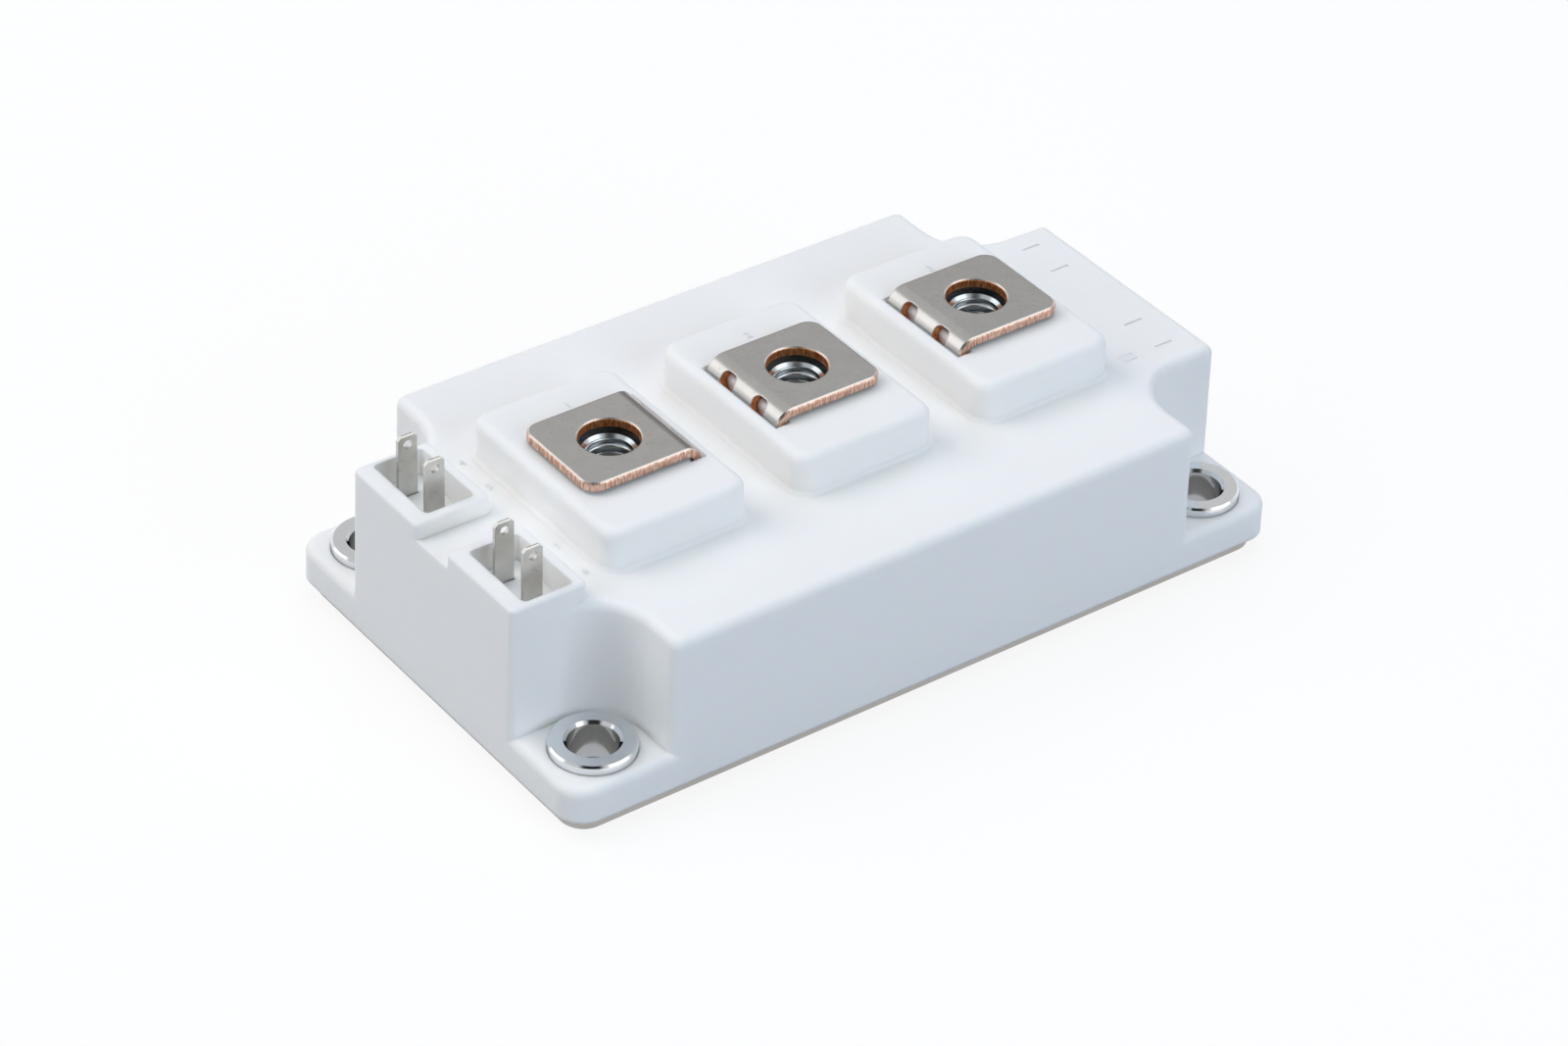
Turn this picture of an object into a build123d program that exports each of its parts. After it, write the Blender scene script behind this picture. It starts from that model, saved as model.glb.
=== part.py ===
from build123d import *
import os

os.makedirs("parts", exist_ok=True)

# Half-bridge power module, modelled in millimetres.
# X runs along the length away from the control pins, Y to the rear and Z up.
# The origin is the centre of the base plate's underside.

# Moulded housing: outline and heights
body_corner_radius = 3.8
rim_lap = 1.2
flange_top = 7.0
flange_edge_radius = 1.2
lid_top = 23.3
lid_thickness = 2.4
lid_edge_radius = 1.3
wall = 2.2
draft_angle = 1.2
main_corner_radius = 1.9
end_corner_radius = 1.3

# Room round the substrates, the mounting sleeves and the terminal pads
substrate_end_room = 0.7
substrate_side_room = 2.8
sleeve_room_x = 1.175
sleeve_room_y = 0.775
notch_room = 1.575
hole_inset_x = 7.5
hole_inset_y = 7.0
pad_end_room = 1.5

# Base plate and its fixing holes
plate_thickness = 3.0
plate_corner_radius = 3.2
plate_edge_chamfer = 0.25
rim_wall = 1.3
plate_clearance = 0.1
screw_hole_diameter = 6.4

# Mounting sleeves pressed into the flange
sleeve_diameter = 10.85
sleeve_proud = 1.25
sleeve_bore_chamfer = 0.38
sleeve_rim_chamfer = 0.25
press_clearance = 0.05

# Main terminals: punched and bent copper strip
terminal_gap = 0.5
strip_thickness = 1.2
tongue_width = 15.0
tongue_end_reach = 7.95
tongue_corner_radius = 2.2
bend_reach = 8.5
bend_radius = 2.4
roll_over = 0.3
terminal_hole_diameter = 7.7
window_width = 2.7
window_length = 2.55
window_corner_radius = 0.9
window_spacing = 6.4
window_angle = 65.0
leg_width = 10.0
toe_gap = 3.0
toe_length = 3.8
toe_bend_radius = 1.6
toe_split_height = 5.0
lip_chamfer = 0.2
slot_clearance = 0.3
slot_bend_room = 0.7

# Raised pads that carry the terminals, with captive nuts
pad_length = 20.8
pad_width = 30.6
pad_height = 5.5
pad_corner_radius = 2.6
pad_edge_radius = 1.3
pad_foot_chamfer = 0.5
nut_across_flats = 10.0
nut_height = 5.0
nut_bore_diameter = 6.0
nut_countersink_diameter = 6.8
nut_set_back = 0.2
nut_cone_reach = 1.0
nut_cone_height = 0.6
nut_clearance = 0.15
well_diameter = 6.8
well_depth = 4.6
boss_wall = 2.0
core_length = 15.0
core_width = 4.6
core_wall = 1.8

# Boxes that shield the control pins
pin_box_height = 2.2
pin_box_length = 11.7
pin_box_inner_gap = 5.2
pin_box_edge_chamfer = 0.3
pin_well_depth = 3.7
pin_well_corner_radius = 0.6
pin_well_front_wall = 2.8
pin_well_back_wall = 2.0
pin_well_inner_wall = 2.0
pin_well_outer_wall = 1.4
pin_guide_depth = 3.0
pin_guide_margin = 2.0

# Control pins stamped from flat strip
pin_row_offset = 0.45
pin_pitch = 6.0
pin_width = 2.7
pin_thickness = 0.5
pin_proud = 5.2
pin_tip_chamfer = 0.55
pin_edge_bevel = 0.15
pin_hole_diameter = 1.2
pin_hole_below_tip = 1.35
pin_arm_proud = 1.1
pin_arm_height = 2.4
pin_foot_width = 1.4
pin_clearance = 0.1

# Thin blind marks at the far end, where other versions have pins
mark_depth = 0.2
mark_width = 0.3

# Ceramic substrates with copper on both faces
substrate_width = 52.0
substrate_gap = 2.0
copper_thickness = 0.3
ceramic_thickness = 0.63
back_copper_margin = 0.6
track_margin = 0.8
track_gap = 0.8
signal_track_width = 1.6
emitter_track_width = 7.0
link_track_width = 2.6

# Chips and bond wires
igbt_size = 10.0
diode_size = 6.5
chip_thickness = 0.2
chip_gap = 0.9
chip_edge = 0.5
chip_row_room = 5.2
wire_diameter = 0.4
wire_loop_height = 1.6
wire_foot_length = 0.9
wires_per_row = 3
wire_pitch = 1.5
sense_wire_offset = 4.0
bridge_wire_count = 4

# Gel that seals the chips
gel_level = 12.4
gel_clearance = 0.1

# Sizes that follow from the ones above: lengths
collector_width = igbt_size + chip_gap + diode_size + 2 * chip_edge
signal_width = 2 * (signal_track_width + track_gap)
power_width = collector_width + emitter_track_width + link_track_width + 2 * track_gap
substrate_length = signal_width + power_width + 2 * track_margin
main_block_length = 2 * (substrate_length + substrate_end_room + wall) + substrate_gap
hole_x = main_block_length / 2 + sleeve_diameter / 2 + sleeve_room_x
body_length = 2 * (hole_x + hole_inset_x)
terminal_pitch = (main_block_length - pad_length) / 2 - pad_end_room

# Widths
body_width = substrate_width + 2 * (substrate_side_room + wall)
hole_y = body_width / 2 - hole_inset_y
end_block_width = 2 * (hole_y - sleeve_diameter / 2 - sleeve_room_y)
notch_radius = sleeve_diameter / 2 + notch_room

# Heights and places
plate_length = body_length - 2 * rim_wall
plate_width = body_width - 2 * rim_wall
rim_bottom = plate_thickness - rim_lap
lid_underside = lid_top - lid_thickness
pad_top = lid_top + pad_height
terminal_top = pad_top + terminal_gap + strip_thickness
pin_box_top = lid_top + pin_box_height
pin_well_floor = pin_box_top - pin_well_depth
pin_tip = pin_box_top + pin_proud
pin_arm_top = gel_level + pin_arm_proud
nut_top = pad_top - nut_set_back
nut_bottom = nut_top - nut_height
well_bottom = nut_bottom - well_depth
boss_bottom = well_bottom - boss_wall
sleeve_top = flange_top + sleeve_proud
ceramic_bottom = plate_thickness + copper_thickness
track_bottom = ceramic_bottom + ceramic_thickness
track_top = track_bottom + copper_thickness
chip_top = track_top + chip_thickness
end_face_x = body_length / 2
box_width = (end_block_width - pin_box_inner_gap) / 2
box_centre_x = -end_face_x + pin_box_length / 2
box_centre_y = (pin_box_inner_gap + box_width) / 2
pin_well_length = pin_box_length - pin_well_front_wall - pin_well_back_wall
pin_well_width = box_width - pin_well_inner_wall - pin_well_outer_wall
well_centre_x = -end_face_x + pin_well_front_wall + pin_well_length / 2
well_centre_y = pin_box_inner_gap / 2 + pin_well_inner_wall + pin_well_width / 2
pin_row_x = well_centre_x - pin_row_offset
pin_near_y = well_centre_y - pin_pitch / 2
pin_far_y = well_centre_y + pin_pitch / 2
pin_rows = [-pin_far_y, -pin_near_y, pin_near_y, pin_far_y]
terminal_centres = [-terminal_pitch, 0.0, terminal_pitch]
terminal_sides = [1, -1, -1]
terminal_names = ["ac", "dc_minus", "dc_plus"]

# Substrate layout: the low side lies under the pin end and the high side beyond it
low_left = -substrate_gap / 2 - substrate_length
high_left = substrate_gap / 2
track_half_width = substrate_width / 2 - track_margin
chip_row_y = track_half_width - chip_row_room - igbt_size / 2
gate_wire_y = chip_row_y + wires_per_row * wire_pitch / 2
low_gate_x = low_left + track_margin + signal_track_width / 2
low_sense_x = low_gate_x + signal_track_width + track_gap
low_collector_left = low_sense_x + signal_track_width / 2 + track_gap
low_link_left = low_left + substrate_length - track_margin - link_track_width
low_emitter_left = low_link_left - track_gap - emitter_track_width
low_igbt_x = low_collector_left + igbt_size / 2 + chip_edge
low_diode_x = low_igbt_x + igbt_size / 2 + chip_gap + diode_size / 2
high_gate_x = high_left + track_margin + signal_track_width / 2
high_sense_x = high_gate_x + signal_track_width + track_gap
high_emitter_left = high_sense_x + signal_track_width / 2 + track_gap
high_collector_left = high_emitter_left + emitter_track_width + track_gap
high_igbt_x = high_collector_left + igbt_size / 2 + chip_edge
high_diode_x = high_igbt_x + igbt_size / 2 + chip_gap + diode_size / 2
high_track_end = high_left + substrate_length - track_margin


def near(vertex, corner):
    """True where a vertex mirrors the corner in any quadrant."""
    gap = Vector(abs(vertex.X), abs(vertex.Y)) - Vector(*corner)
    return gap.length < plate_clearance


def body_outline(sketch):
    """Draw the upper body in this sketch: a wide block with a narrower block at each end."""
    Rectangle(body_length, end_block_width)
    Rectangle(main_block_length, body_width)
    inner = (main_block_length / 2, end_block_width / 2)
    fillet([v for v in sketch.vertices() if near(v, inner)], notch_radius)
    outer = (main_block_length / 2, body_width / 2)
    fillet([v for v in sketch.vertices() if near(v, outer)], main_corner_radius)
    ends = sketch.vertices().group_by(Axis.X)
    fillet(ends[0] + ends[-1], end_corner_radius)


# Base plate: nickel-plated copper that spreads the heat, with four fixing holes
with BuildPart() as base_plate:
    with BuildSketch():
        RectangleRounded(plate_length, plate_width, plate_corner_radius)
        with GridLocations(2 * hole_x, 2 * hole_y, 2, 2):
            Circle(screw_hole_diameter / 2, mode=Mode.SUBTRACT)
    extrude(amount=plate_thickness)
    chamfer(base_plate.faces().sort_by(Axis.Z)[0].outer_wire().edges(), plate_edge_chamfer)

# Housing: one hollow moulding that stands on the base plate and laps its edge
with BuildPart() as housing:
    with BuildSketch(Plane.XY.offset(rim_bottom)):
        RectangleRounded(body_length, body_width, body_corner_radius)
    extrude(amount=flange_top - rim_bottom, taper=draft_angle)
    fillet(housing.edges().group_by(Axis.Z)[-1], flange_edge_radius)
    # Upper body, drawn from the same plane so that its drafted ends run flush with the flange
    with BuildSketch(Plane.XY.offset(rim_bottom)) as upper:
        body_outline(upper)
    extrude(amount=lid_top - rim_bottom, taper=draft_angle)
    fillet(housing.edges().group_by(Axis.Z)[-1], lid_edge_radius)
    # Sharp end edge between the pin boxes
    with BuildSketch(Plane.XY.offset(rim_bottom)):
        with Locations((box_centre_x, 0)):
            Rectangle(pin_box_length, 2 * box_centre_y)
    extrude(amount=lid_top - rim_bottom, taper=draft_angle)
    # Pin boxes
    with BuildSketch(Plane.XY.offset(rim_bottom)):
        with Locations((box_centre_x, box_centre_y), (box_centre_x, -box_centre_y)):
            RectangleRounded(pin_box_length, box_width, end_corner_radius)
    extrude(amount=pin_box_top - rim_bottom, taper=draft_angle)
    chamfer(housing.edges().group_by(Axis.Z)[-1], pin_box_edge_chamfer)
    # Terminal pads
    with BuildSketch(Plane.XY.offset(lid_top)):
        with GridLocations(terminal_pitch, 0, len(terminal_centres), 1):
            RectangleRounded(pad_length, pad_width, pad_corner_radius)
    extrude(amount=pad_height, taper=draft_angle)
    fillet(housing.edges().group_by(Axis.Z)[-1], pad_edge_radius)
    pad_end = terminal_pitch + pad_length / 2
    feet = housing.edges().filter_by(lambda e: abs(e.center().Z - lid_top) < pad_foot_chamfer / 2)
    feet = feet.filter_by(lambda e: abs(e.center().X) <= pad_end and abs(e.center().Y) <= pad_width / 2)
    chamfer(feet, pad_foot_chamfer)
    # Cavity for the substrates, open below
    with BuildSketch(Plane.XY.offset(plate_thickness)) as hollow:
        body_outline(hollow)
        offset(amount=-wall)
    extrude(amount=lid_underside - plate_thickness, taper=draft_angle, mode=Mode.SUBTRACT)
    # Seat that laps the base plate's edge
    with BuildSketch(Plane.XY.offset(rim_bottom)):
        RectangleRounded(
            plate_length + 2 * plate_clearance,
            plate_width + 2 * plate_clearance,
            plate_corner_radius + plate_clearance,
        )
    extrude(amount=plate_thickness - rim_bottom, mode=Mode.SUBTRACT)
    # Blind bosses under the nuts and guide blocks under the pin boxes
    with BuildSketch(Plane.XY.offset(boss_bottom)):
        with GridLocations(terminal_pitch, 0, len(terminal_centres), 1):
            Circle(well_diameter / 2 + boss_wall)
    extrude(amount=lid_underside - boss_bottom)
    with BuildSketch(Plane.XY.offset(lid_underside - pin_guide_depth)):
        with Locations((well_centre_x, well_centre_y), (well_centre_x, -well_centre_y)):
            Rectangle(pin_width + 2 * pin_guide_margin, pin_far_y - pin_near_y + 2 * pin_guide_margin)
    extrude(amount=pin_guide_depth)
    # Nut pockets and the wells below them
    with BuildSketch(Plane.XY.offset(nut_bottom)):
        with GridLocations(terminal_pitch, 0, len(terminal_centres), 1):
            RegularPolygon(nut_across_flats / 2 + nut_clearance, 6, major_radius=False)
    extrude(amount=pad_top - nut_bottom, mode=Mode.SUBTRACT)
    with BuildSketch(Plane.XY.offset(well_bottom)):
        with GridLocations(terminal_pitch, 0, len(terminal_centres), 1):
            Circle(well_diameter / 2)
    extrude(amount=nut_bottom - well_bottom, mode=Mode.SUBTRACT)
    # Slots that the terminals come up through, wider towards the nut for the bend
    slot_length = slot_bend_room + strip_thickness + slot_clearance
    for centre, side in zip(terminal_centres, terminal_sides):
        with BuildSketch(Plane.XY.offset(lid_underside)):
            with Locations((centre + side * (bend_reach + slot_clearance - slot_length / 2), 0)):
                Rectangle(slot_length, tongue_width + 2 * slot_clearance)
        extrude(amount=pad_top - lid_underside, mode=Mode.SUBTRACT)
    # Coring that keeps the pads' walls even, open to the cavity
    with BuildSketch(Plane.XY.offset(lid_underside)):
        with GridLocations(terminal_pitch, pad_width - core_width - 2 * core_wall, len(terminal_centres), 2):
            Rectangle(core_length, core_width)
    extrude(amount=pad_top - core_wall - lid_underside, mode=Mode.SUBTRACT)
    # Pin wells and the slots in their floors
    with BuildSketch(Plane.XY.offset(pin_well_floor)):
        with Locations((well_centre_x, well_centre_y), (well_centre_x, -well_centre_y)):
            RectangleRounded(pin_well_length, pin_well_width, pin_well_corner_radius)
    extrude(amount=pin_box_top - pin_well_floor, mode=Mode.SUBTRACT)
    with BuildSketch(Plane.XY.offset(lid_underside - pin_guide_depth)):
        with Locations(*[(pin_row_x, y) for y in pin_rows]):
            Rectangle(pin_width + 2 * pin_clearance, pin_thickness + 2 * pin_clearance)
    extrude(amount=pin_well_floor - lid_underside + pin_guide_depth, mode=Mode.SUBTRACT)
    # Blind marks at the far end, in line with the pins
    with BuildSketch(Plane.XY.offset(lid_top - mark_depth)):
        with Locations(*[(-pin_row_x, y) for y in pin_rows]):
            Rectangle(pin_width, mark_width)
    extrude(amount=mark_depth, mode=Mode.SUBTRACT)
    # Holes for the mounting sleeves
    with BuildSketch(Plane.XY.offset(plate_thickness)):
        with GridLocations(2 * hole_x, 2 * hole_y, 2, 2):
            Circle(sleeve_diameter / 2 + press_clearance)
    extrude(amount=flange_top - plate_thickness, mode=Mode.SUBTRACT)


def save(part, name):
    """Label a finished piece and write it to its own file."""
    part.label = name
    export_step(part, "parts/" + name + ".step")


save(base_plate.part, "base_plate")
save(housing.part, "housing")


def mounting_sleeve(x, y):
    """Turn one steel sleeve, which stands on the base plate and rises proud of the flange."""
    with BuildPart() as sleeve:
        with BuildSketch(Plane.XY.offset(plate_thickness)):
            with Locations((x, y)):
                Circle(sleeve_diameter / 2)
                Circle(screw_hole_diameter / 2, mode=Mode.SUBTRACT)
        extrude(amount=sleeve_top - plate_thickness)
        rims = sleeve.faces().sort_by(Axis.Z)[-1].edges().sort_by(SortBy.LENGTH)
        chamfer(rims[0], sleeve_bore_chamfer)
        chamfer(sleeve.faces().sort_by(Axis.Z)[-1].outer_wire().edges(), sleeve_rim_chamfer)
    return sleeve.part


for end, x in (("left", -hole_x), ("right", hole_x)):
    for row, y in (("front", -hole_y), ("rear", hole_y)):
        save(mounting_sleeve(x, y), "mounting_sleeve_" + row + "_" + end)


def main_terminal(centre, side):
    """Bend one copper strip: flat tongue over the nut, quarter bend, leg and two soldered toes."""
    leg_x = centre + side * (bend_reach - strip_thickness / 2)
    tongue_z = terminal_top - strip_thickness / 2
    toe_z = track_top + strip_thickness / 2
    with BuildPart() as terminal:
        with BuildSketch(Plane.XZ):
            with BuildLine():
                FilletPolyline(
                    (centre - side * tongue_end_reach, tongue_z),
                    (leg_x, tongue_z),
                    (leg_x, toe_z),
                    (leg_x - toe_length, toe_z),
                    radius=[bend_radius - strip_thickness / 2, toe_bend_radius],
                )
            trace(line_width=strip_thickness)
        extrude(amount=tongue_width / 2, both=True)
        # Rounded corners at the free end, and the outer edge that the punch rolls over
        ends = terminal.edges().filter_by(Axis.Z).group_by(Axis.X)
        fillet(ends[0] if side > 0 else ends[-1], tongue_corner_radius)
        outline = terminal.faces().sort_by(Axis.Z)[-1].edges()
        chamfer(outline.filter_by(lambda e: abs(e.center().X - leg_x) > bend_radius), roll_over)
        # Shoulders, below which the leg is narrower
        with BuildSketch(Plane.XY.offset(track_top)):
            with Locations((leg_x, 0)):
                with GridLocations(0, (leg_width + tongue_width) / 2, 1, 2):
                    Rectangle(4 * toe_length, (tongue_width - leg_width) / 2)
        extrude(amount=lid_underside - lid_thickness - track_top, mode=Mode.SUBTRACT)
        # Slit that parts the two toes
        with BuildSketch(Plane.XY.offset(track_top)):
            with Locations((leg_x, 0)):
                Rectangle(4 * toe_length, toe_gap)
        extrude(amount=toe_split_height, mode=Mode.SUBTRACT)
        # Screw hole with its lip
        with BuildSketch(Plane.XY.offset(terminal_top)):
            with Locations((centre, 0)):
                Circle(terminal_hole_diameter / 2)
        extrude(amount=-strip_thickness, mode=Mode.SUBTRACT)
        rims = terminal.edges().filter_by(GeomType.CIRCLE).group_by(Axis.Z)[-1]
        chamfer(rims.filter_by(lambda e: e.radius > terminal_hole_diameter / 3), lip_chamfer)
        # Two windows that weaken the bend
        bend_axis = Vector(centre + side * (bend_reach - bend_radius), 0, terminal_top - bend_radius)
        normal = Vector(0, 0, 1).rotate(Axis.Y, side * window_angle)
        window_plane = Plane(bend_axis + normal * bend_radius, x_dir=(0, 1, 0), z_dir=normal)
        with BuildSketch(window_plane.offset(strip_thickness)):
            with GridLocations(window_spacing, 0, 2, 1):
                RectangleRounded(window_width, window_length, window_corner_radius)
        extrude(amount=-3 * strip_thickness, mode=Mode.SUBTRACT)
    return terminal.part


def captive_nut(centre):
    """Form one hexagon nut with chamfered corners and a countersunk bore."""
    flat = nut_across_flats / 2
    with BuildPart() as nut:
        with BuildSketch(Plane.XY.offset(nut_bottom)):
            with Locations((centre, 0)):
                RegularPolygon(flat, 6, major_radius=False)
        extrude(amount=nut_height)
        with BuildSketch(Plane.XZ):
            with BuildLine():
                Polyline(
                    (centre, nut_bottom),
                    (centre + flat, nut_bottom),
                    (centre + flat + nut_cone_reach, nut_bottom + nut_cone_height),
                    (centre + flat + nut_cone_reach, nut_top - nut_cone_height),
                    (centre + flat, nut_top),
                    (centre, nut_top),
                    close=True,
                )
            make_face()
        revolve(axis=Axis((centre, 0, 0), (0, 0, 1)), mode=Mode.INTERSECT)
        with BuildSketch(Plane.XY.offset(nut_bottom)):
            with Locations((centre, 0)):
                Circle(nut_bore_diameter / 2)
        extrude(amount=nut_height, mode=Mode.SUBTRACT)
        bore = nut.edges().filter_by(GeomType.CIRCLE).filter_by(lambda e: e.radius < flat * 0.8)
        chamfer(bore, (nut_countersink_diameter - nut_bore_diameter) / 2)
    return nut.part


terminals = []
for name, centre, side in zip(terminal_names, terminal_centres, terminal_sides):
    terminals.append(main_terminal(centre, side))
    save(terminals[-1], "terminal_" + name)
    save(captive_nut(centre), "terminal_nut_" + name)


def control_pin(y, foot_x):
    """Stamp one control pin: tab with a hole, arm inside the housing and a foot on its track."""
    left = pin_row_x - pin_width / 2
    right = pin_row_x + pin_width / 2
    arm_bottom = pin_arm_top - pin_arm_height
    with BuildPart() as pin:
        with BuildSketch(Plane.XZ.offset(-y)) as blank:
            with BuildLine():
                Polyline(
                    (left, arm_bottom),
                    (left, pin_tip),
                    (right, pin_tip),
                    (right, pin_arm_top),
                    (foot_x + pin_foot_width / 2, pin_arm_top),
                    (foot_x + pin_foot_width / 2, track_top),
                    (foot_x - pin_foot_width / 2, track_top),
                    (foot_x - pin_foot_width / 2, arm_bottom),
                    close=True,
                )
            make_face()
            chamfer(blank.vertices().group_by(Axis.Y)[-1], pin_tip_chamfer)
            with Locations((pin_row_x, pin_tip - pin_hole_below_tip)):
                Circle(pin_hole_diameter / 2, mode=Mode.SUBTRACT)
        extrude(amount=pin_thickness / 2, both=True)
        chamfer(pin.edges().group_by(Axis.Z)[-1].filter_by(Axis.X), pin_edge_bevel)
    return pin.part


pins = [
    ("control_pin_gate_high", pin_far_y, high_gate_x),
    ("control_pin_emitter_high", pin_near_y, high_sense_x),
    ("control_pin_emitter_low", -pin_near_y, low_sense_x),
    ("control_pin_gate_low", -pin_far_y, low_gate_x),
]
pin_parts = []
for name, y, foot_x in pins:
    pin_parts.append(control_pin(y, foot_x))
    save(pin_parts[-1], name)


def plate(left, right, front, rear, bottom, thickness):
    """Lay one flat rectangle of ceramic, copper or silicon."""
    with BuildPart() as sheet:
        with BuildSketch(Plane.XY.offset(bottom)):
            with Locations(((left + right) / 2, (front + rear) / 2)):
                Rectangle(right - left, rear - front)
        extrude(amount=thickness)
    return sheet.part


def square_chip(x, y, size):
    """Lay one silicon chip on its track."""
    return plate(x - size / 2, x + size / 2, y - size / 2, y + size / 2, track_top, chip_thickness)


def track(left, width):
    """Lay one straight copper track over the full width of a substrate."""
    return plate(left, left + width, -track_half_width, track_half_width, track_bottom, copper_thickness)


inside = []
half_width = substrate_width / 2
for name, left in (("low", low_left), ("high", high_left)):
    right = left + substrate_length
    back = plate(
        left + back_copper_margin,
        right - back_copper_margin,
        back_copper_margin - half_width,
        half_width - back_copper_margin,
        plate_thickness,
        copper_thickness,
    )
    ceramic = plate(left, right, -half_width, half_width, ceramic_bottom, ceramic_thickness)
    inside += [("back_copper_" + name, back), ("ceramic_" + name, ceramic)]

inside.append(("gate_track_low", track(low_gate_x - signal_track_width / 2, signal_track_width)))
inside.append(("sense_track_low", track(low_sense_x - signal_track_width / 2, signal_track_width)))
inside.append(("gate_track_high", track(high_gate_x - signal_track_width / 2, signal_track_width)))
inside.append(("sense_track_high", track(high_sense_x - signal_track_width / 2, signal_track_width)))
inside.append(("emitter_track_high", track(high_emitter_left, emitter_track_width)))
inside.append(("collector_track_high", track(high_collector_left, high_track_end - high_collector_left)))

# Low-side tracks: the collector reaches round the emitter to the edge that faces the high side
low_emitter_rear = track_half_width - link_track_width - track_gap
low_emitter = plate(
    low_emitter_left,
    low_emitter_left + emitter_track_width,
    -track_half_width,
    low_emitter_rear,
    track_bottom,
    copper_thickness,
)
inside.append(("emitter_track_low", low_emitter))
low_link_right = low_link_left + link_track_width
low_collector_right = low_emitter_left - track_gap
with BuildPart() as low_collector:
    with BuildSketch(Plane.XY.offset(track_bottom)):
        with Locations(((low_collector_left + low_collector_right) / 2, 0)):
            Rectangle(low_collector_right - low_collector_left, 2 * track_half_width)
        with Locations(((low_collector_left + low_link_right) / 2, track_half_width - link_track_width / 2)):
            Rectangle(low_link_right - low_collector_left, link_track_width)
        with Locations((low_link_left + link_track_width / 2, 0)):
            Rectangle(link_track_width, 2 * track_half_width)
    extrude(amount=copper_thickness)
inside.append(("collector_track_low", low_collector.part))

for name, igbt_x, diode_x in (("low", low_igbt_x, low_diode_x), ("high", high_igbt_x, high_diode_x)):
    for row, y in (("front", -chip_row_y), ("rear", chip_row_y)):
        inside.append(("igbt_chip_" + name + "_" + row, square_chip(igbt_x, y, igbt_size)))
        inside.append(("diode_chip_" + name + "_" + row, square_chip(diode_x, y, diode_size)))


def bond_wires(stations, y, count):
    """Stitch parallel wires from station to station, each a (place along X, surface height)."""
    step = wire_foot_length / 2 if stations[-1][0] > stations[0][0] else -wire_foot_length / 2
    rise = wire_loop_height if step > 0 else -wire_loop_height
    points = []
    for index, (x, surface) in enumerate(stations):
        z = surface + wire_diameter / 2
        if index > 0:
            points.append((x - step - rise, y, z + wire_loop_height))
        points.append((x - step, y, z))
        points.append((x + step, y, z))
        if index < len(stations) - 1:
            points.append((x + step + rise, y, z + wire_loop_height))
    with BuildPart() as wires:
        with BuildLine() as route:
            Polyline(*points)
        with BuildSketch(Plane(points[0], x_dir=(0, 1, 0), z_dir=(step, 0, 0))):
            with GridLocations(wire_pitch, 0, count, 1):
                Rectangle(wire_diameter, wire_diameter)
        sweep(path=route.wires()[0], transition=Transition.RIGHT)
    return wires.part


low_emitter_x = low_emitter_left + emitter_track_width / 2
high_emitter_x = high_emitter_left + emitter_track_width / 2
for row, y, gate_y in (("front", -chip_row_y, -gate_wire_y), ("rear", chip_row_y, gate_wire_y)):
    low_stations = [(low_igbt_x, chip_top), (low_diode_x, chip_top), (low_emitter_x, track_top)]
    high_stations = [(high_diode_x, chip_top), (high_igbt_x, chip_top), (high_emitter_x, track_top)]
    inside.append(("emitter_wires_low_" + row, bond_wires(low_stations, y, wires_per_row)))
    inside.append(("emitter_wires_high_" + row, bond_wires(high_stations, y, wires_per_row)))
    for name, chip_x, gate_x in (("low", low_igbt_x, low_gate_x), ("high", high_igbt_x, high_gate_x)):
        pad_x = chip_x - igbt_size / 2 + wire_foot_length
        gate_stations = [(pad_x, chip_top), (gate_x, track_top)]
        inside.append(("gate_wire_" + name + "_" + row, bond_wires(gate_stations, gate_y, 1)))
        sense_y = y + sense_wire_offset
        sense_stations = [(pad_x, chip_top), (gate_x + signal_track_width + track_gap, track_top)]
        inside.append(("sense_wire_" + name + "_" + row, bond_wires(sense_stations, sense_y, 1)))
bridge_stations = [
    (high_emitter_left + wire_foot_length, track_top),
    (low_link_left + link_track_width / 2, track_top),
]
inside.append(("bridge_wires", bond_wires(bridge_stations, 0, bridge_wire_count)))
for name, part in inside:
    save(part, name)

# Silicone gel: fills the cavity round everything on the substrates, up to its level
with BuildPart() as gel:
    with BuildSketch(Plane.XY.offset(plate_thickness)) as level:
        body_outline(level)
        offset(amount=-wall - gel_clearance)
    extrude(amount=gel_level - plate_thickness, taper=draft_angle)
    for part in [content for _, content in inside] + terminals + pin_parts:
        add(part, mode=Mode.SUBTRACT)
save(gel.part, "silicone_gel")
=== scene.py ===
import math

import bmesh
import bpy
from mathutils import Matrix, Vector


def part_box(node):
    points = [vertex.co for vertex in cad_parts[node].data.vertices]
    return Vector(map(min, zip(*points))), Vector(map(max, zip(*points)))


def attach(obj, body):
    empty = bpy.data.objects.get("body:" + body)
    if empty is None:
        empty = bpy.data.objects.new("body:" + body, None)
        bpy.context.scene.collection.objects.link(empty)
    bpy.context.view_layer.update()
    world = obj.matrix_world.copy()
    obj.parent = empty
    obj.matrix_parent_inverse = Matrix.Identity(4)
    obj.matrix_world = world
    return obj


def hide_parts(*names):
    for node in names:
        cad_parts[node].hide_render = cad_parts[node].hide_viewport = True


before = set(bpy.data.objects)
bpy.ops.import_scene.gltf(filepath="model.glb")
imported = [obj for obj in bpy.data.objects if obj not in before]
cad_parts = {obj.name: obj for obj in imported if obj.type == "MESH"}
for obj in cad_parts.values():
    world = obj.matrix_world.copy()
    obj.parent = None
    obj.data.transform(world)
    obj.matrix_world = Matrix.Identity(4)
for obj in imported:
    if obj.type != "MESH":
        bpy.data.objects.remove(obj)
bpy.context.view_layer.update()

MM = 0.001

# Base plate: nickel-plated copper, stamped flat, that carries the module and spreads its heat.
# Only its edge shows below the housing; the plating is matt, with fine lapping marks underneath.


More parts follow.
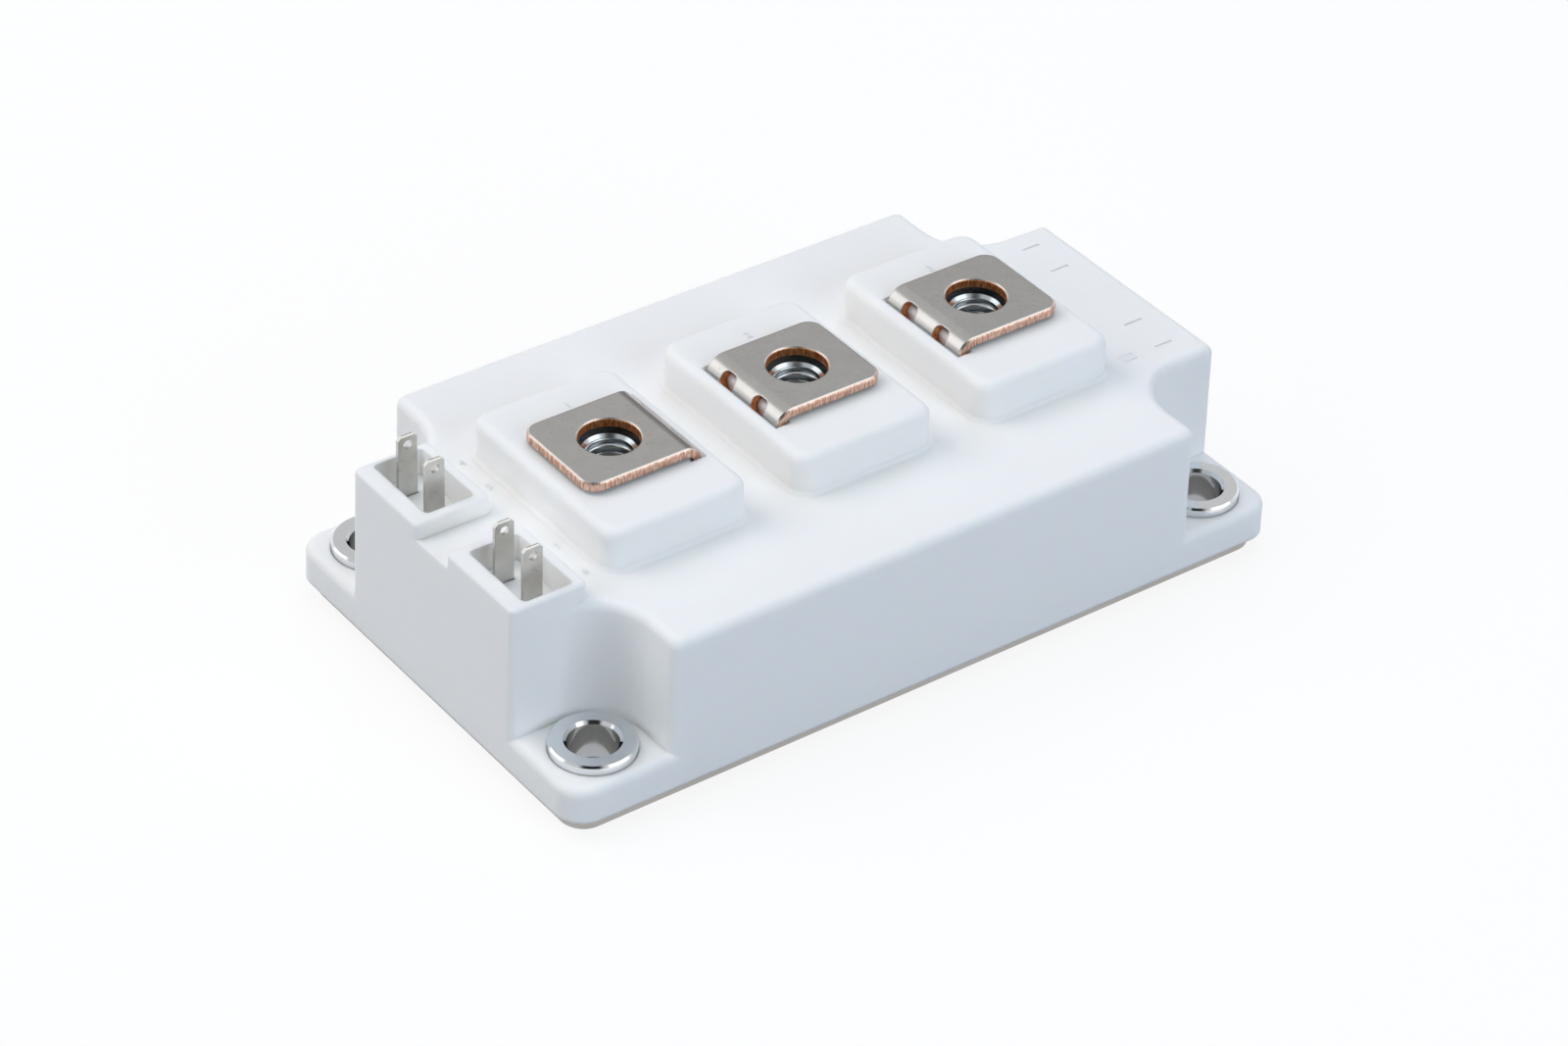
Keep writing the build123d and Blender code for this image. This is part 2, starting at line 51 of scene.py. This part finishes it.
def linear(code):
    """sRGB hex to a linear RGBA colour."""
    parts = [int(code[i:i + 2], 16) / 255 for i in (1, 3, 5)]
    return [c / 12.92 if c <= 0.04045 else ((c + 0.055) / 1.055) ** 2.4 for c in parts] + [1.0]


def add_node(tree, kind, settings=None, inputs=None):
    """Add one node with its settings, and set or link its inputs by name or number."""
    made = tree.nodes.new(kind)
    for key, value in (settings or {}).items():
        setattr(made, key, value)
    for key, value in (inputs or {}).items():
        if isinstance(value, bpy.types.NodeSocket):
            tree.links.new(value, made.inputs[key])
        else:
            made.inputs[key].default_value = value
    return made


def calc(tree, operation, *values):
    """The output of one Math node."""
    return add_node(tree, "ShaderNodeMath", {"operation": operation}, dict(enumerate(values))).outputs[0]


def calc_vector(tree, operation, *values):
    """The output of one Vector Math node: a number for a dot product or a length, else a vector."""
    made = add_node(tree, "ShaderNodeVectorMath", {"operation": operation}, dict(enumerate(values)))
    return made.outputs["Value" if operation in ("DOT_PRODUCT", "LENGTH") else "Vector"]


def axes(tree, vector):
    """The three numbers of a vector."""
    return add_node(tree, "ShaderNodeSeparateXYZ", inputs={0: vector}).outputs


def ramp(tree, value, low, high, begins=0.0, ends=1.0):
    """Take a number from its range to this one, and hold it at both ends."""
    return add_node(tree, "ShaderNodeMapRange", inputs={
        "Value": value, "From Min": begins, "From Max": ends, "To Min": low, "To Max": high}).outputs[0]


def blend(tree, factor, low, high):
    """Mix two colours, each of them an sRGB hex or a socket."""
    first, second = (linear(colour) if isinstance(colour, str) else colour for colour in (low, high))
    return add_node(tree, "ShaderNodeMix", {"data_type": "RGBA"}, {0: factor, 6: first, 7: second}).outputs[2]


def noise(tree, vector, scale, **others):
    """Noise of this scale, with its other inputs by name."""
    inputs = {"Vector": vector, "Scale": scale}
    inputs.update({name.capitalize(): value for name, value in others.items()})
    return add_node(tree, "ShaderNodeTexNoise", inputs=inputs).outputs[0]


def stretch(tree, vector, scales):
    """Coordinates scaled by a number for each axis, which draws noise out into lines."""
    return add_node(tree, "ShaderNodeMapping", inputs={"Vector": vector, "Scale": scales}).outputs[0]


def bump(tree, height, strength, depth, normal=None):
    """Shading that follows a height of this depth in mm, on top of another normal if there is one."""
    inputs = {"Height": height, "Strength": strength, "Distance": depth * MM}
    if normal is not None:
        inputs["Normal"] = normal
    return add_node(tree, "ShaderNodeBump", inputs=inputs).outputs[0]


def start_material(name):
    """A new material with an empty tree, and its Object coordinates."""
    material = bpy.data.materials.new(name)
    material.use_nodes = True
    tree = material.node_tree
    tree.nodes.clear()
    place = add_node(tree, "ShaderNodeTexCoord").outputs["Object"]
    return material, tree, place


def finish_material(tree, shader):
    """End a material with this shader node."""
    add_node(tree, "ShaderNodeOutputMaterial", inputs={"Surface": shader.outputs[0]})


def finish_principled(tree, inputs):
    """End a material with a Principled shader that has these inputs."""
    finish_material(tree, add_node(tree, "ShaderNodeBsdfPrincipled", inputs=inputs))


def dress(names, material):
    """Give CAD nodes a finished material in all their slots."""
    for name in names:
        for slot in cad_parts[name].material_slots:
            slot.material = material


def add_object(name, data):
    """A new object of the scene that shows this mesh, curve, lamp or camera."""
    made = bpy.data.objects.new(name, data)
    bpy.context.scene.collection.objects.link(made)
    return made


plate_nickel, tree, place = start_material("matt_nickel_plate")
lapping = noise(tree, stretch(tree, place, (60, 900, 900)), 1.0, detail=3.0)
finish_principled(tree, {
    "Base Color": blend(tree, lapping, "#A19F9B", "#B9B7B3"),
    "Metallic": 1.0,
    "Roughness": ramp(tree, lapping, 0.36, 0.5),
    "Normal": bump(tree, lapping, 0.15, 0.05),
})
dress(["base_plate"], plate_nickel)

# Substrates: alumina ceramic with copper bonded to both faces and etched into tracks.
# They are soldered to the base plate and lie sealed under the gel.
ceramic, tree, place = start_material("white_alumina")
grain = noise(tree, place, 4000.0, detail=2.0)
finish_principled(tree, {"Base Color": blend(tree, grain, "#DEDDD8", "#EDECE8"), "Roughness": 0.6})
dress(["ceramic_low", "ceramic_high"], ceramic)

bonded_copper, tree, place = start_material("bonded_copper")
grain = noise(tree, place, 1500.0, detail=4.0)
finish_principled(tree, {
    "Base Color": blend(tree, grain, "#B8714C", "#D08E68"),
    "Metallic": 1.0,
    "Roughness": ramp(tree, grain, 0.32, 0.48),
})
dress([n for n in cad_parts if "track" in n or n.startswith("back_copper")], bonded_copper)

# Chips and bond wires: silicon with a bright aluminium face, stitched together with
# aluminium wire that ultrasonics weld to the chips and the tracks.
silicon, tree, place = start_material("metallised_silicon")
grain = add_node(tree, "ShaderNodeTexVoronoi", inputs={"Vector": place, "Scale": 1200.0}).outputs[0]
finish_principled(tree, {
    "Base Color": blend(tree, grain, "#7C7F86", "#9EA1A8"), "Metallic": 0.9, "Roughness": 0.3})
dress([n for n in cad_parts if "_chip_" in n], silicon)

bond_wire, tree, place = start_material("aluminium_bond_wire")
grain = noise(tree, place, 3000.0)
finish_principled(tree, {
    "Base Color": linear("#D6D7D9"), "Metallic": 1.0, "Roughness": ramp(tree, grain, 0.22, 0.38)})
dress([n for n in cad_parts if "wire" in n], bond_wire)

# Control pins: stamped from tinned bronze strip, with bevelled tips and a small hole.
# The tin is satin, with faint drawing lines along the strip and small stains.
tinned_strip, tree, place = start_material("tinned_bronze_strip")
drawn_lines = noise(tree, stretch(tree, place, (2600, 2600, 160)), 1.0, detail=2.0)
cloud = noise(tree, place, 420.0, detail=3.0)
finish_principled(tree, {
    "Base Color": blend(tree, cloud, "#B4B3AF", "#DDDCD8"),
    "Metallic": 1.0,
    "Roughness": ramp(tree, cloud, 0.2, 0.42),
    "Normal": bump(tree, drawn_lines, 0.2, 0.02),
})
dress([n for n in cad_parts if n.startswith("control_pin")], tinned_strip)

# Main terminals: copper strip, nickel plated, then punched and bent over the nuts. The plated
# faces are satin grey and roll over the upper edge; the punched walls show raw copper.
terminals = {  # centre along X in mm, and the side that the strip is bent down on
    "terminal_ac": (-28.0, 1.0),
    "terminal_dc_minus": (0.0, -1.0),
    "terminal_dc_plus": (28.0, -1.0),
}
bend_reach = 8.5
bend_radius = 2.4
# The plating rolls over the edge by this much, and fades into copper over twice the blur
roll_over = 0.16
roll_over_blur = 0.04
# Screw hole and windows lie inside these two limits, the strip's own edges outside them
punched_half_width = 5.6
punched_end = bend_reach + 2.0
# A face counts as a wall where its normal turns away from the strip's face, by the cosine
wall_cosine, face_cosine = 0.74, 0.86
for name, (centre, side) in terminals.items():
    strip, tree, place = start_material("nickel_plated_" + name)
    # Direction of the strip's own face: up on the tongue, round on the bend, along X on the leg
    terminal_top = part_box(name)[1][2]
    bend_axis = ((centre + side * (bend_reach - bend_radius)) * MM, 0.0, terminal_top - bend_radius * MM)
    offset = calc_vector(tree, "SUBTRACT", place, bend_axis)
    flat = calc_vector(tree, "MULTIPLY", offset, (side, 0, 1))
    kept = calc_vector(tree, "MAXIMUM", flat, (0, 0, 0))
    facing = calc_vector(tree, "MULTIPLY", calc_vector(tree, "NORMALIZE", kept), (side, 1, 1))
    true_normal = add_node(tree, "ShaderNodeNewGeometry").outputs["True Normal"]
    cosine = calc(tree, "ABSOLUTE", calc_vector(tree, "DOT_PRODUCT", true_normal, facing))
    wall = ramp(tree, cosine, 1.0, 0.0, wall_cosine, face_cosine)
    # Depth below the outer face, which the plating rolls over by a fraction of a millimetre
    copper_radius = bend_radius - roll_over
    below = ramp(tree, calc_vector(tree, "LENGTH", kept), 1.0, 0.0,
                 (copper_radius - roll_over_blur) * MM, (copper_radius + roll_over_blur) * MM)
    edge = calc(tree, "MULTIPLY", wall, below)
    # Nickel: satin, with faint stains a few millimetres wide and darker specks
    cloud = noise(tree, place, 260.0, detail=5.0, roughness=0.6)
    speck = noise(tree, place, 1700.0, detail=3.0, roughness=0.7)
    stain = ramp(tree, speck, 0.0, 0.5, 0.62, 0.78)
    nickel = blend(tree, stain, blend(tree, cloud, "#C2C0BD", "#D6D3D0"), "#8F857A")
    # Copper: torn by the punch, with fine upright burnish lines; inside the holes it is painted a deeper, brighter
    # orange, a painted reflection of the copper walls lighting each other
    tear = noise(tree, stretch(tree, place, (3600, 3600, 700)), 1.0, detail=3.0)
    streak = ramp(tree, tear, 0.0, 1.0, 0.36, 0.64)
    outer = blend(tree, streak, "#AE7F6A", "#EBCBB9")
    painted_glow_copper = blend(tree, streak, "#BE6A34", "#F8B47C")
    # Within both limits, in the hole and the windows, the copper takes the painted reflection glow
    central = calc(tree, "LESS_THAN", axes(tree, calc_vector(tree, "ABSOLUTE", offset))["Y"],
                   punched_half_width * MM)
    before_end = calc(tree, "GREATER_THAN", axes(tree, flat)["X"], -punched_end * MM)
    copper = blend(tree, calc(tree, "MULTIPLY", central, before_end), outer, painted_glow_copper)
    # The plating is faintly pebbled, and the punched walls are streaked from top to bottom
    relief = add_node(tree, "ShaderNodeMix", {"data_type": "FLOAT"}, {0: edge, 2: speck, 3: streak}).outputs[0]
    soft = add_node(tree, "ShaderNodeBevel", {"samples": 4}, {"Radius": 0.2 * MM}).outputs[0]
    finish_principled(tree, {
        "Base Color": blend(tree, edge, nickel, copper),
        "Metallic": 1.0,
        "Roughness": ramp(tree, edge, 0.25, 0.36),
        "Normal": bump(tree, relief, 0.25, 0.06, soft),
    })
    dress([name], strip)

# Gel: soft clear silicone, poured in over the chips and cured.
# It is faintly milky and slightly glossy.
gel, tree, place = start_material("clear_silicone_gel")
finish_principled(tree, {
    "Base Color": linear("#F0F2EC"),
    "Roughness": ramp(tree, noise(tree, place, 90.0), 0.08, 0.16),
    "IOR": 1.41,
    "Transmission Weight": 0.9,
})
dress(["silicone_gel"], gel)

# Housing: glass-filled PBT, moulded in one piece in white, with a satin spark-eroded surface.
# Its edges are soft from the mould, which a fine rounding of the shading adds to.
white_pbt, tree, place = start_material("moulded_white_pbt")
erosion = noise(tree, place, 5200.0, detail=2.0)
cloud = noise(tree, place, 45.0, detail=2.0)
soft = add_node(tree, "ShaderNodeBevel", {"samples": 4}, {"Radius": 0.5 * MM}).outputs[0]
finish_principled(tree, {
    "Base Color": blend(tree, cloud, "#F7F5F1", "#FAF9F6"),
    "Roughness": ramp(tree, erosion, 0.42, 0.52),
    "IOR": 1.5,
    "Normal": bump(tree, erosion, 0.12, 0.03, soft),
    "Subsurface Weight": 0.4,
    "Subsurface Radius": (1.0, 0.85, 0.7),
    "Subsurface Scale": 0.001,
})
dress(["housing"], white_pbt)

# The shown moulding has a rim that laps less of the base plate, and shallower blind marks.
# Heights in mm
rim_bottom, rim_rise = 1.8, 0.5
mark_floor, mark_rise = 23.1, 0.1
marks_begin = 40.0
moulding = add_object("housing_moulding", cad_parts["housing"].data.copy())
for vertex in moulding.data.vertices:
    if abs(vertex.co.z - rim_bottom * MM) < 0.01 * MM:
        vertex.co.z += rim_rise * MM
    elif vertex.co.x > marks_begin * MM and abs(vertex.co.z - mark_floor * MM) < 0.002 * MM:
        vertex.co.z += mark_rise * MM
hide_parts("housing")
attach(moulding, "root")

# Slot ribs: white plastic, moulded with the housing, that fills the inside of each terminal's bend
# and shows through its two windows. A lip of the same plastic closes the slot round the strip.


def add_block(shape, size, middle):
    """Add a block to a bmesh, with its size and its centre in mm."""
    corners = bmesh.ops.create_cube(shape, size=1.0)["verts"]
    bmesh.ops.scale(shape, vec=[value * MM for value in size], verts=corners)
    bmesh.ops.translate(shape, vec=[value * MM for value in middle], verts=corners)


rib_room = 0.06
rib_depth = 3.0
rib_half_width = 7.0
slot_wall_reach = 6.55
strip_thickness = 1.2
strip_half_width = 7.5
arc_steps = 12
lip_width = 0.27
lip_gap = 0.04
lip_drop = 0.85
for name, (centre, side) in terminals.items():
    terminal_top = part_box(name)[1][2] / MM
    inner_radius = bend_radius - strip_thickness - rib_room
    axis_x, axis_z = bend_reach - bend_radius, terminal_top - bend_radius
    # The rib's profile follows the inside of the bend, and ends at the slot's wall
    profile = [(slot_wall_reach, axis_z - rib_depth), (axis_x + inner_radius, axis_z - rib_depth)]
    for step in range(arc_steps + 1):
        angle = math.radians(90.0) * step / arc_steps
        point = (axis_x + inner_radius * math.cos(angle), axis_z + inner_radius * math.sin(angle))
        if point[0] >= slot_wall_reach:
            profile.append(point)
    profile.append((slot_wall_reach, profile[-1][1]))
    rib = bmesh.new()
    rings = []
    for y in (-rib_half_width, rib_half_width):
        rings.append([rib.verts.new(((centre + side * x) * MM, y * MM, z * MM)) for x, z in profile])
    for ring in rings:
        rib.faces.new(ring)
    for first in range(len(profile)):
        second = (first + 1) % len(profile)
        rib.faces.new((rings[0][first], rings[0][second], rings[1][second], rings[1][first]))
    # The lip runs along the bend and round both edges of the strip, just below its underside
    lip_top = terminal_top - strip_thickness - lip_drop
    lip_inside = strip_half_width + lip_gap
    lip_outside = lip_inside + lip_width
    lips = [(bend_reach + lip_gap, bend_reach + lip_gap + lip_width, -lip_outside, lip_outside)]
    lips += [(slot_wall_reach, bend_reach + lip_gap, y, y + lip_width) for y in (-lip_outside, lip_inside)]
    for left, right, front, rear in lips:
        add_block(rib, (right - left, rear - front, rib_depth),
                  (centre + side * (left + right) / 2, (front + rear) / 2, lip_top - rib_depth / 2))
    bmesh.ops.recalc_face_normals(rib, faces=rib.faces)
    rib_name = name.replace("terminal", "slot_rib")
    rib_mesh = bpy.data.meshes.new(rib_name)
    rib.to_mesh(rib_mesh)
    rib.free()
    rib_mesh.materials.append(white_pbt)
    piece = add_object(rib_name, rib_mesh)
    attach(piece, "root")

# Mounting sleeves: turned steel, pressed into the flange, with a smooth bright zinc plating
# that mirrors its surroundings.
bright_zinc, tree, place = start_material("bright_zinc_plate")
cloud = noise(tree, place, 700.0, detail=3.0)
finish_principled(tree, {
    "Base Color": blend(tree, cloud, "#E2E5E8", "#EDEFF1"),
    "Metallic": 1.0,
    "Roughness": ramp(tree, cloud, 0.06, 0.15),
})
dress([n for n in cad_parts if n.startswith("mounting_sleeve")], bright_zinc)

# Captive nuts: steel hexagon nuts with a countersunk, tapped bore, bright zinc plated.
# The thread turns are swept along their helix inside each bore.
blue_zinc, tree, place = start_material("blue_zinc_plate")
cloud = noise(tree, place, 900.0, detail=3.0)
finish_principled(tree, {
    "Base Color": blend(tree, cloud, "#BCC6CC", "#D2DADF"),
    "Metallic": 1.0,
    "Roughness": ramp(tree, cloud, 0.12, 0.24),
})
dress([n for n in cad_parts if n.startswith("terminal_nut")], blue_zinc)

thread_tree = bpy.data.node_groups.new("thread_turns", "GeometryNodeTree")
thread_inputs = {
    "Pitch": "NodeSocketFloat", "Turns": "NodeSocketFloat", "Bore radius": "NodeSocketFloat",
    "Depth": "NodeSocketFloat", "Place": "NodeSocketVector", "Finish": "NodeSocketMaterial",
}
for input_name, kind in thread_inputs.items():
    thread_tree.interface.new_socket(input_name, in_out="INPUT", socket_type=kind)
thread_tree.interface.new_socket("Geometry", in_out="OUTPUT", socket_type="NodeSocketGeometry")
given = add_node(thread_tree, "NodeGroupInput").outputs
helix = add_node(thread_tree, "GeometryNodeCurveSpiral", inputs={
    "Resolution": 48, "Rotations": given["Turns"], "Start Radius": given["Bore radius"],
    "End Radius": given["Bore radius"], "Height": calc(thread_tree, "MULTIPLY", given["Pitch"], given["Turns"])})
# The ridge rises over the first and last part of a turn, as a cut thread runs out
run_out = 0.08
along = add_node(thread_tree, "GeometryNodeSplineParameter").outputs["Factor"]
lead_in = ramp(thread_tree, along, 0.0, 1.0, 0.0, run_out)
lead_out = ramp(thread_tree, along, 0.0, 1.0, 1.0, 1.0 - run_out)
ridge = add_node(thread_tree, "GeometryNodeCurvePrimitiveCircle", inputs={"Resolution": 3, "Radius": given["Depth"]})
turns = add_node(thread_tree, "GeometryNodeCurveToMesh", inputs={
    "Curve": helix.outputs[0], "Profile Curve": ridge.outputs[0],
    "Scale": calc(thread_tree, "MINIMUM", lead_in, lead_out), "Fill Caps": True})
placed = add_node(thread_tree, "GeometryNodeTransform", inputs={
    "Geometry": turns.outputs[0], "Translation": given["Place"]})
real = add_node(thread_tree, "GeometryNodeRealizeInstances", inputs={"Geometry": placed.outputs[0]})
coated = add_node(thread_tree, "GeometryNodeSetMaterial", inputs={
    "Geometry": real.outputs[0], "Material": given["Finish"]})
add_node(thread_tree, "NodeGroupOutput", inputs={"Geometry": coated.outputs[0]})


def evaluated_mesh(carrier):
    """The mesh that an object shows, as a plain mesh of its own."""
    bpy.context.view_layer.update()
    return bpy.data.meshes.new_from_object(carrier.evaluated_get(bpy.context.evaluated_depsgraph_get()))


def grow(name, group, values):
    """Run a Geometry Nodes tree with these inputs and keep its result as a plain mesh object."""
    carrier = add_object(name + "_carrier", bpy.data.meshes.new(name + "_carrier"))
    modifier = carrier.modifiers.new("grow", "NODES")
    modifier.node_group = group
    for item in group.interface.items_tree:
        if item.in_out == "INPUT" and item.name in values:
            modifier[item.identifier] = values[item.name]
    mesh = evaluated_mesh(carrier)
    carrier.modifiers.remove(modifier)
    bpy.data.objects.remove(carrier)
    return add_object(name, mesh)


thread_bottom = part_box("terminal_nut_ac")[0][2] + 0.5 * MM
for name, (centre, side) in terminals.items():
    piece = grow(name.replace("terminal", "thread_turns"), thread_tree, {
        "Pitch": 1.0 * MM, "Turns": 4.0, "Bore radius": 3.1 * MM, "Depth": 0.55 * MM,
        "Place": (centre * MM, 0.0, thread_bottom), "Finish": blue_zinc})
    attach(piece, "root")

# Numerals beside the pins and the terminals, and two short bars at the far end:
# shallow raised figures of the same white moulding.
pad_top, lid_top = 28.8, 23.3
figures = [  # figure, place of its centre in mm, height of the face that it stands on
    ("1", -27.1, 10.2, pad_top), ("2", 0.2, 10.5, pad_top), ("3", 28.6, 10.1, pad_top),
    ("4", -40.2, 13.5, lid_top), ("5", -40.2, 7.5, lid_top),
    ("7", -40.2, -7.1, lid_top), ("6", -40.2, -13.0, lid_top),
]
figure_height = 1.25
font_size_per_height = 1.4
figure_relief = 0.04
relief_pbt = white_pbt.copy()
relief_pbt.name = "moulded_white_pbt_relief"
for shade_node in relief_pbt.node_tree.nodes:
    if shade_node.type == "BEVEL":
        shade_node.inputs["Radius"].default_value = 0.03 * MM
for text, x, y, z in figures:
    curve = bpy.data.curves.new("figure_" + text, "FONT")
    curve.body = text
    curve.size = figure_height * font_size_per_height * MM
    curve.extrude = figure_relief * MM
    curve.align_x = "CENTER"
    curve.align_y = "CENTER"
    carrier = add_object("figure_carrier", curve)
    mesh = evaluated_mesh(carrier)
    bpy.data.objects.remove(carrier)
    mesh.transform(Matrix.Translation((x * MM, y * MM, z * MM)))
    mesh.materials.clear()
    mesh.materials.append(relief_pbt)
    piece = add_object("raised_figure_" + text, mesh)
    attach(piece, "root")

bar_size = (1.95, 0.35, 0.24)
bar_x = 42.4
bars = bmesh.new()
for y in (-12.75, -13.9):
    add_block(bars, bar_size, (bar_x, y, lid_top))
bar_mesh = bpy.data.meshes.new("raised_bars")
bars.to_mesh(bar_mesh)
bars.free()
bar_mesh.materials.append(relief_pbt)
piece = add_object("raised_bars", bar_mesh)
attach(piece, "root")

# Studio: a plain white floor and backdrop, a large soft light overhead and softer ones at the sides.
# The floor and the world show white to the camera and to reflections, and light plainly otherwise.
# Metal mirrors the world and not the lamps, so that its shine is even.
floor_reach, floor_drop = 3.0, 0.0002
floor_corners = [(x * floor_reach, y * floor_reach, -floor_drop) for x, y in ((-1, -1), (1, -1), (1, 1), (-1, 1))]
floor_mesh = bpy.data.meshes.new("studio_floor")
floor_mesh.from_pydata(floor_corners, [], [(0, 1, 2, 3)])
floor = add_object("studio_floor", floor_mesh)
paper, tree, place = start_material("white_paper_floor")
ray = add_node(tree, "ShaderNodeLightPath").outputs
seen = calc(tree, "MAXIMUM", ray["Is Camera Ray"], ray["Is Glossy Ray"])
seen = calc(tree, "MAXIMUM", seen, ray["Is Transmission Ray"])
# Under the module no light reaches the paper, which shows through the screw holes; there its white glow
# is dimmed to a painted shadow. The limits lie inside the plate's rounded corners
covered_half_length, covered_half_width = 0.0502, 0.0276
sides = axes(tree, calc_vector(tree, "ABSOLUTE", place))
past_end = calc(tree, "GREATER_THAN", sides["X"], covered_half_length)
past_side = calc(tree, "GREATER_THAN", sides["Y"], covered_half_width)
painted_shadow_factor = ramp(tree, calc(tree, "MAXIMUM", past_end, past_side), 0.34, 1.0)
glow_share = 0.87
share = calc(tree, "MULTIPLY", calc(tree, "MULTIPLY", seen, glow_share), painted_shadow_factor)
# White where it is seen, so that the shadow shows on it, and greyer in the light that it throws back
diffuse = add_node(tree, "ShaderNodeBsdfDiffuse", inputs={"Color": blend(tree, seen, "#B4B7BA", "#FFFFFF")})
white = add_node(tree, "ShaderNodeEmission", inputs={"Color": linear("#FFFFFF"), "Strength": 1.0})
finish_material(tree, add_node(tree, "ShaderNodeMixShader", inputs={
    0: share, 1: diffuse.outputs[0], 2: white.outputs[0]}))
floor_mesh.materials.append(paper)

world = bpy.data.worlds.new("studio")
bpy.context.scene.world = world
world.use_nodes = True
tree = world.node_tree
tree.nodes.clear()
# Metal mirrors a room that is white at the horizon, greyer overhead, dark beside the camera and
# in one corner behind, and bright where two softboxes hang
sky = add_node(tree, "ShaderNodeTexCoord").outputs["Generated"]
mirrored = ramp(tree, axes(tree, sky)["Z"], 1.0, 0.62, 0.1, 0.6)
dark_patches = [  # direction, cosines at which it begins and is full, and its level
    ((-0.494, -0.641, 0.587), 0.87, 0.93, 0.04),
    ((0.625, 0.766, 0.151), 0.91, 0.965, 0.22),
]
for direction, begins, full, level in dark_patches:
    shade = ramp(tree, calc_vector(tree, "DOT_PRODUCT", sky, direction), 1.0, level, begins, full)
    mirrored = calc(tree, "MULTIPLY", mirrored, shade)
softboxes = [  # direction of each softbox that the metal mirrors, and its brightness
    ((-0.584, 0.645, 0.493), 1.5),
    ((0.494, -0.586, 0.642), 1.7),
]
for direction, brightness in softboxes:
    glow = ramp(tree, calc_vector(tree, "DOT_PRODUCT", sky, direction), 0.0, brightness, 0.86, 0.96)
    mirrored = calc(tree, "MAXIMUM", mirrored, glow)
ray = add_node(tree, "ShaderNodeLightPath").outputs
mirrored = calc(tree, "MULTIPLY", mirrored, ray["Is Glossy Ray"])
seen = calc(tree, "MAXIMUM", ray["Is Camera Ray"], ray["Is Transmission Ray"])
white = add_node(tree, "ShaderNodeBackground", inputs={
    "Color": linear("#FFFFFF"), "Strength": calc(tree, "MAXIMUM", seen, mirrored)})
add_node(tree, "ShaderNodeOutputWorld", inputs={"Surface": white.outputs[0]})

lamps = [  # name, place, size, power and colour
    ("overhead_softbox", (0.0, 0.0, 0.9), 1.0, 4.05, "#EFF9FF"),
    ("rear_left_softbox", (-0.5, 0.6, 0.8), 0.7, 4.8, "#FFF5F5"),
    ("rear_right_softbox", (0.5, 0.6, 0.8), 0.7, 2.15, "#D6E2FF"),
    ("left_softbox", (-1.0, 0.1, 0.4), 0.7, 3.5, "#E8F4FF"),
    ("front_softbox", (0.2, -1.0, 0.4), 0.7, 6.1, "#E1EEFF"),
    ("rear_fill_softbox", (0.85, 0.7, 0.35), 0.7, 1.5, "#FCFDFF"),
]
lamp_target = Vector((0, 0, 0.01))
for name, spot, size, power, colour in lamps:
    light = bpy.data.lights.new(name, "AREA")
    light.size = size
    light.energy = power
    light.color = linear(colour)[:3]
    lamp = add_object(name, light)
    lamp.location = spot
    lamp.visible_glossy = False
    lamp.rotation_euler = (lamp_target - Vector(spot)).to_track_quat("-Z", "Y").to_euler()

# Camera: the photograph's angle, from the front left and above, with its slight roll.
# Place and lens come from the pixels of the terminals and the screw holes.
azimuth = math.radians(-37.641)
elevation = math.radians(35.965)
roll = math.radians(2.404)
camera_place = (-0.29760, -0.38458, 0.35918)
level_reach = math.cos(elevation)
forward = Vector((-math.sin(azimuth) * level_reach, math.cos(azimuth) * level_reach, -math.sin(elevation)))
right = forward.cross(Vector((0, 0, 1))).normalized()
up = right.cross(forward)
tilted_right = math.cos(roll) * right + math.sin(roll) * up
tilted_up = math.cos(roll) * up - math.sin(roll) * right
camera_data = bpy.data.cameras.new("camera")
camera_data.sensor_width = 36.0
camera_data.lens = 109.54
camera = add_object("camera", camera_data)
turn = Matrix((tilted_right, tilted_up, -forward)).transposed().to_4x4()
camera.matrix_world = Matrix.Translation(camera_place) @ turn
bpy.context.scene.camera = camera
bpy.context.scene.view_settings.view_transform = "Standard"
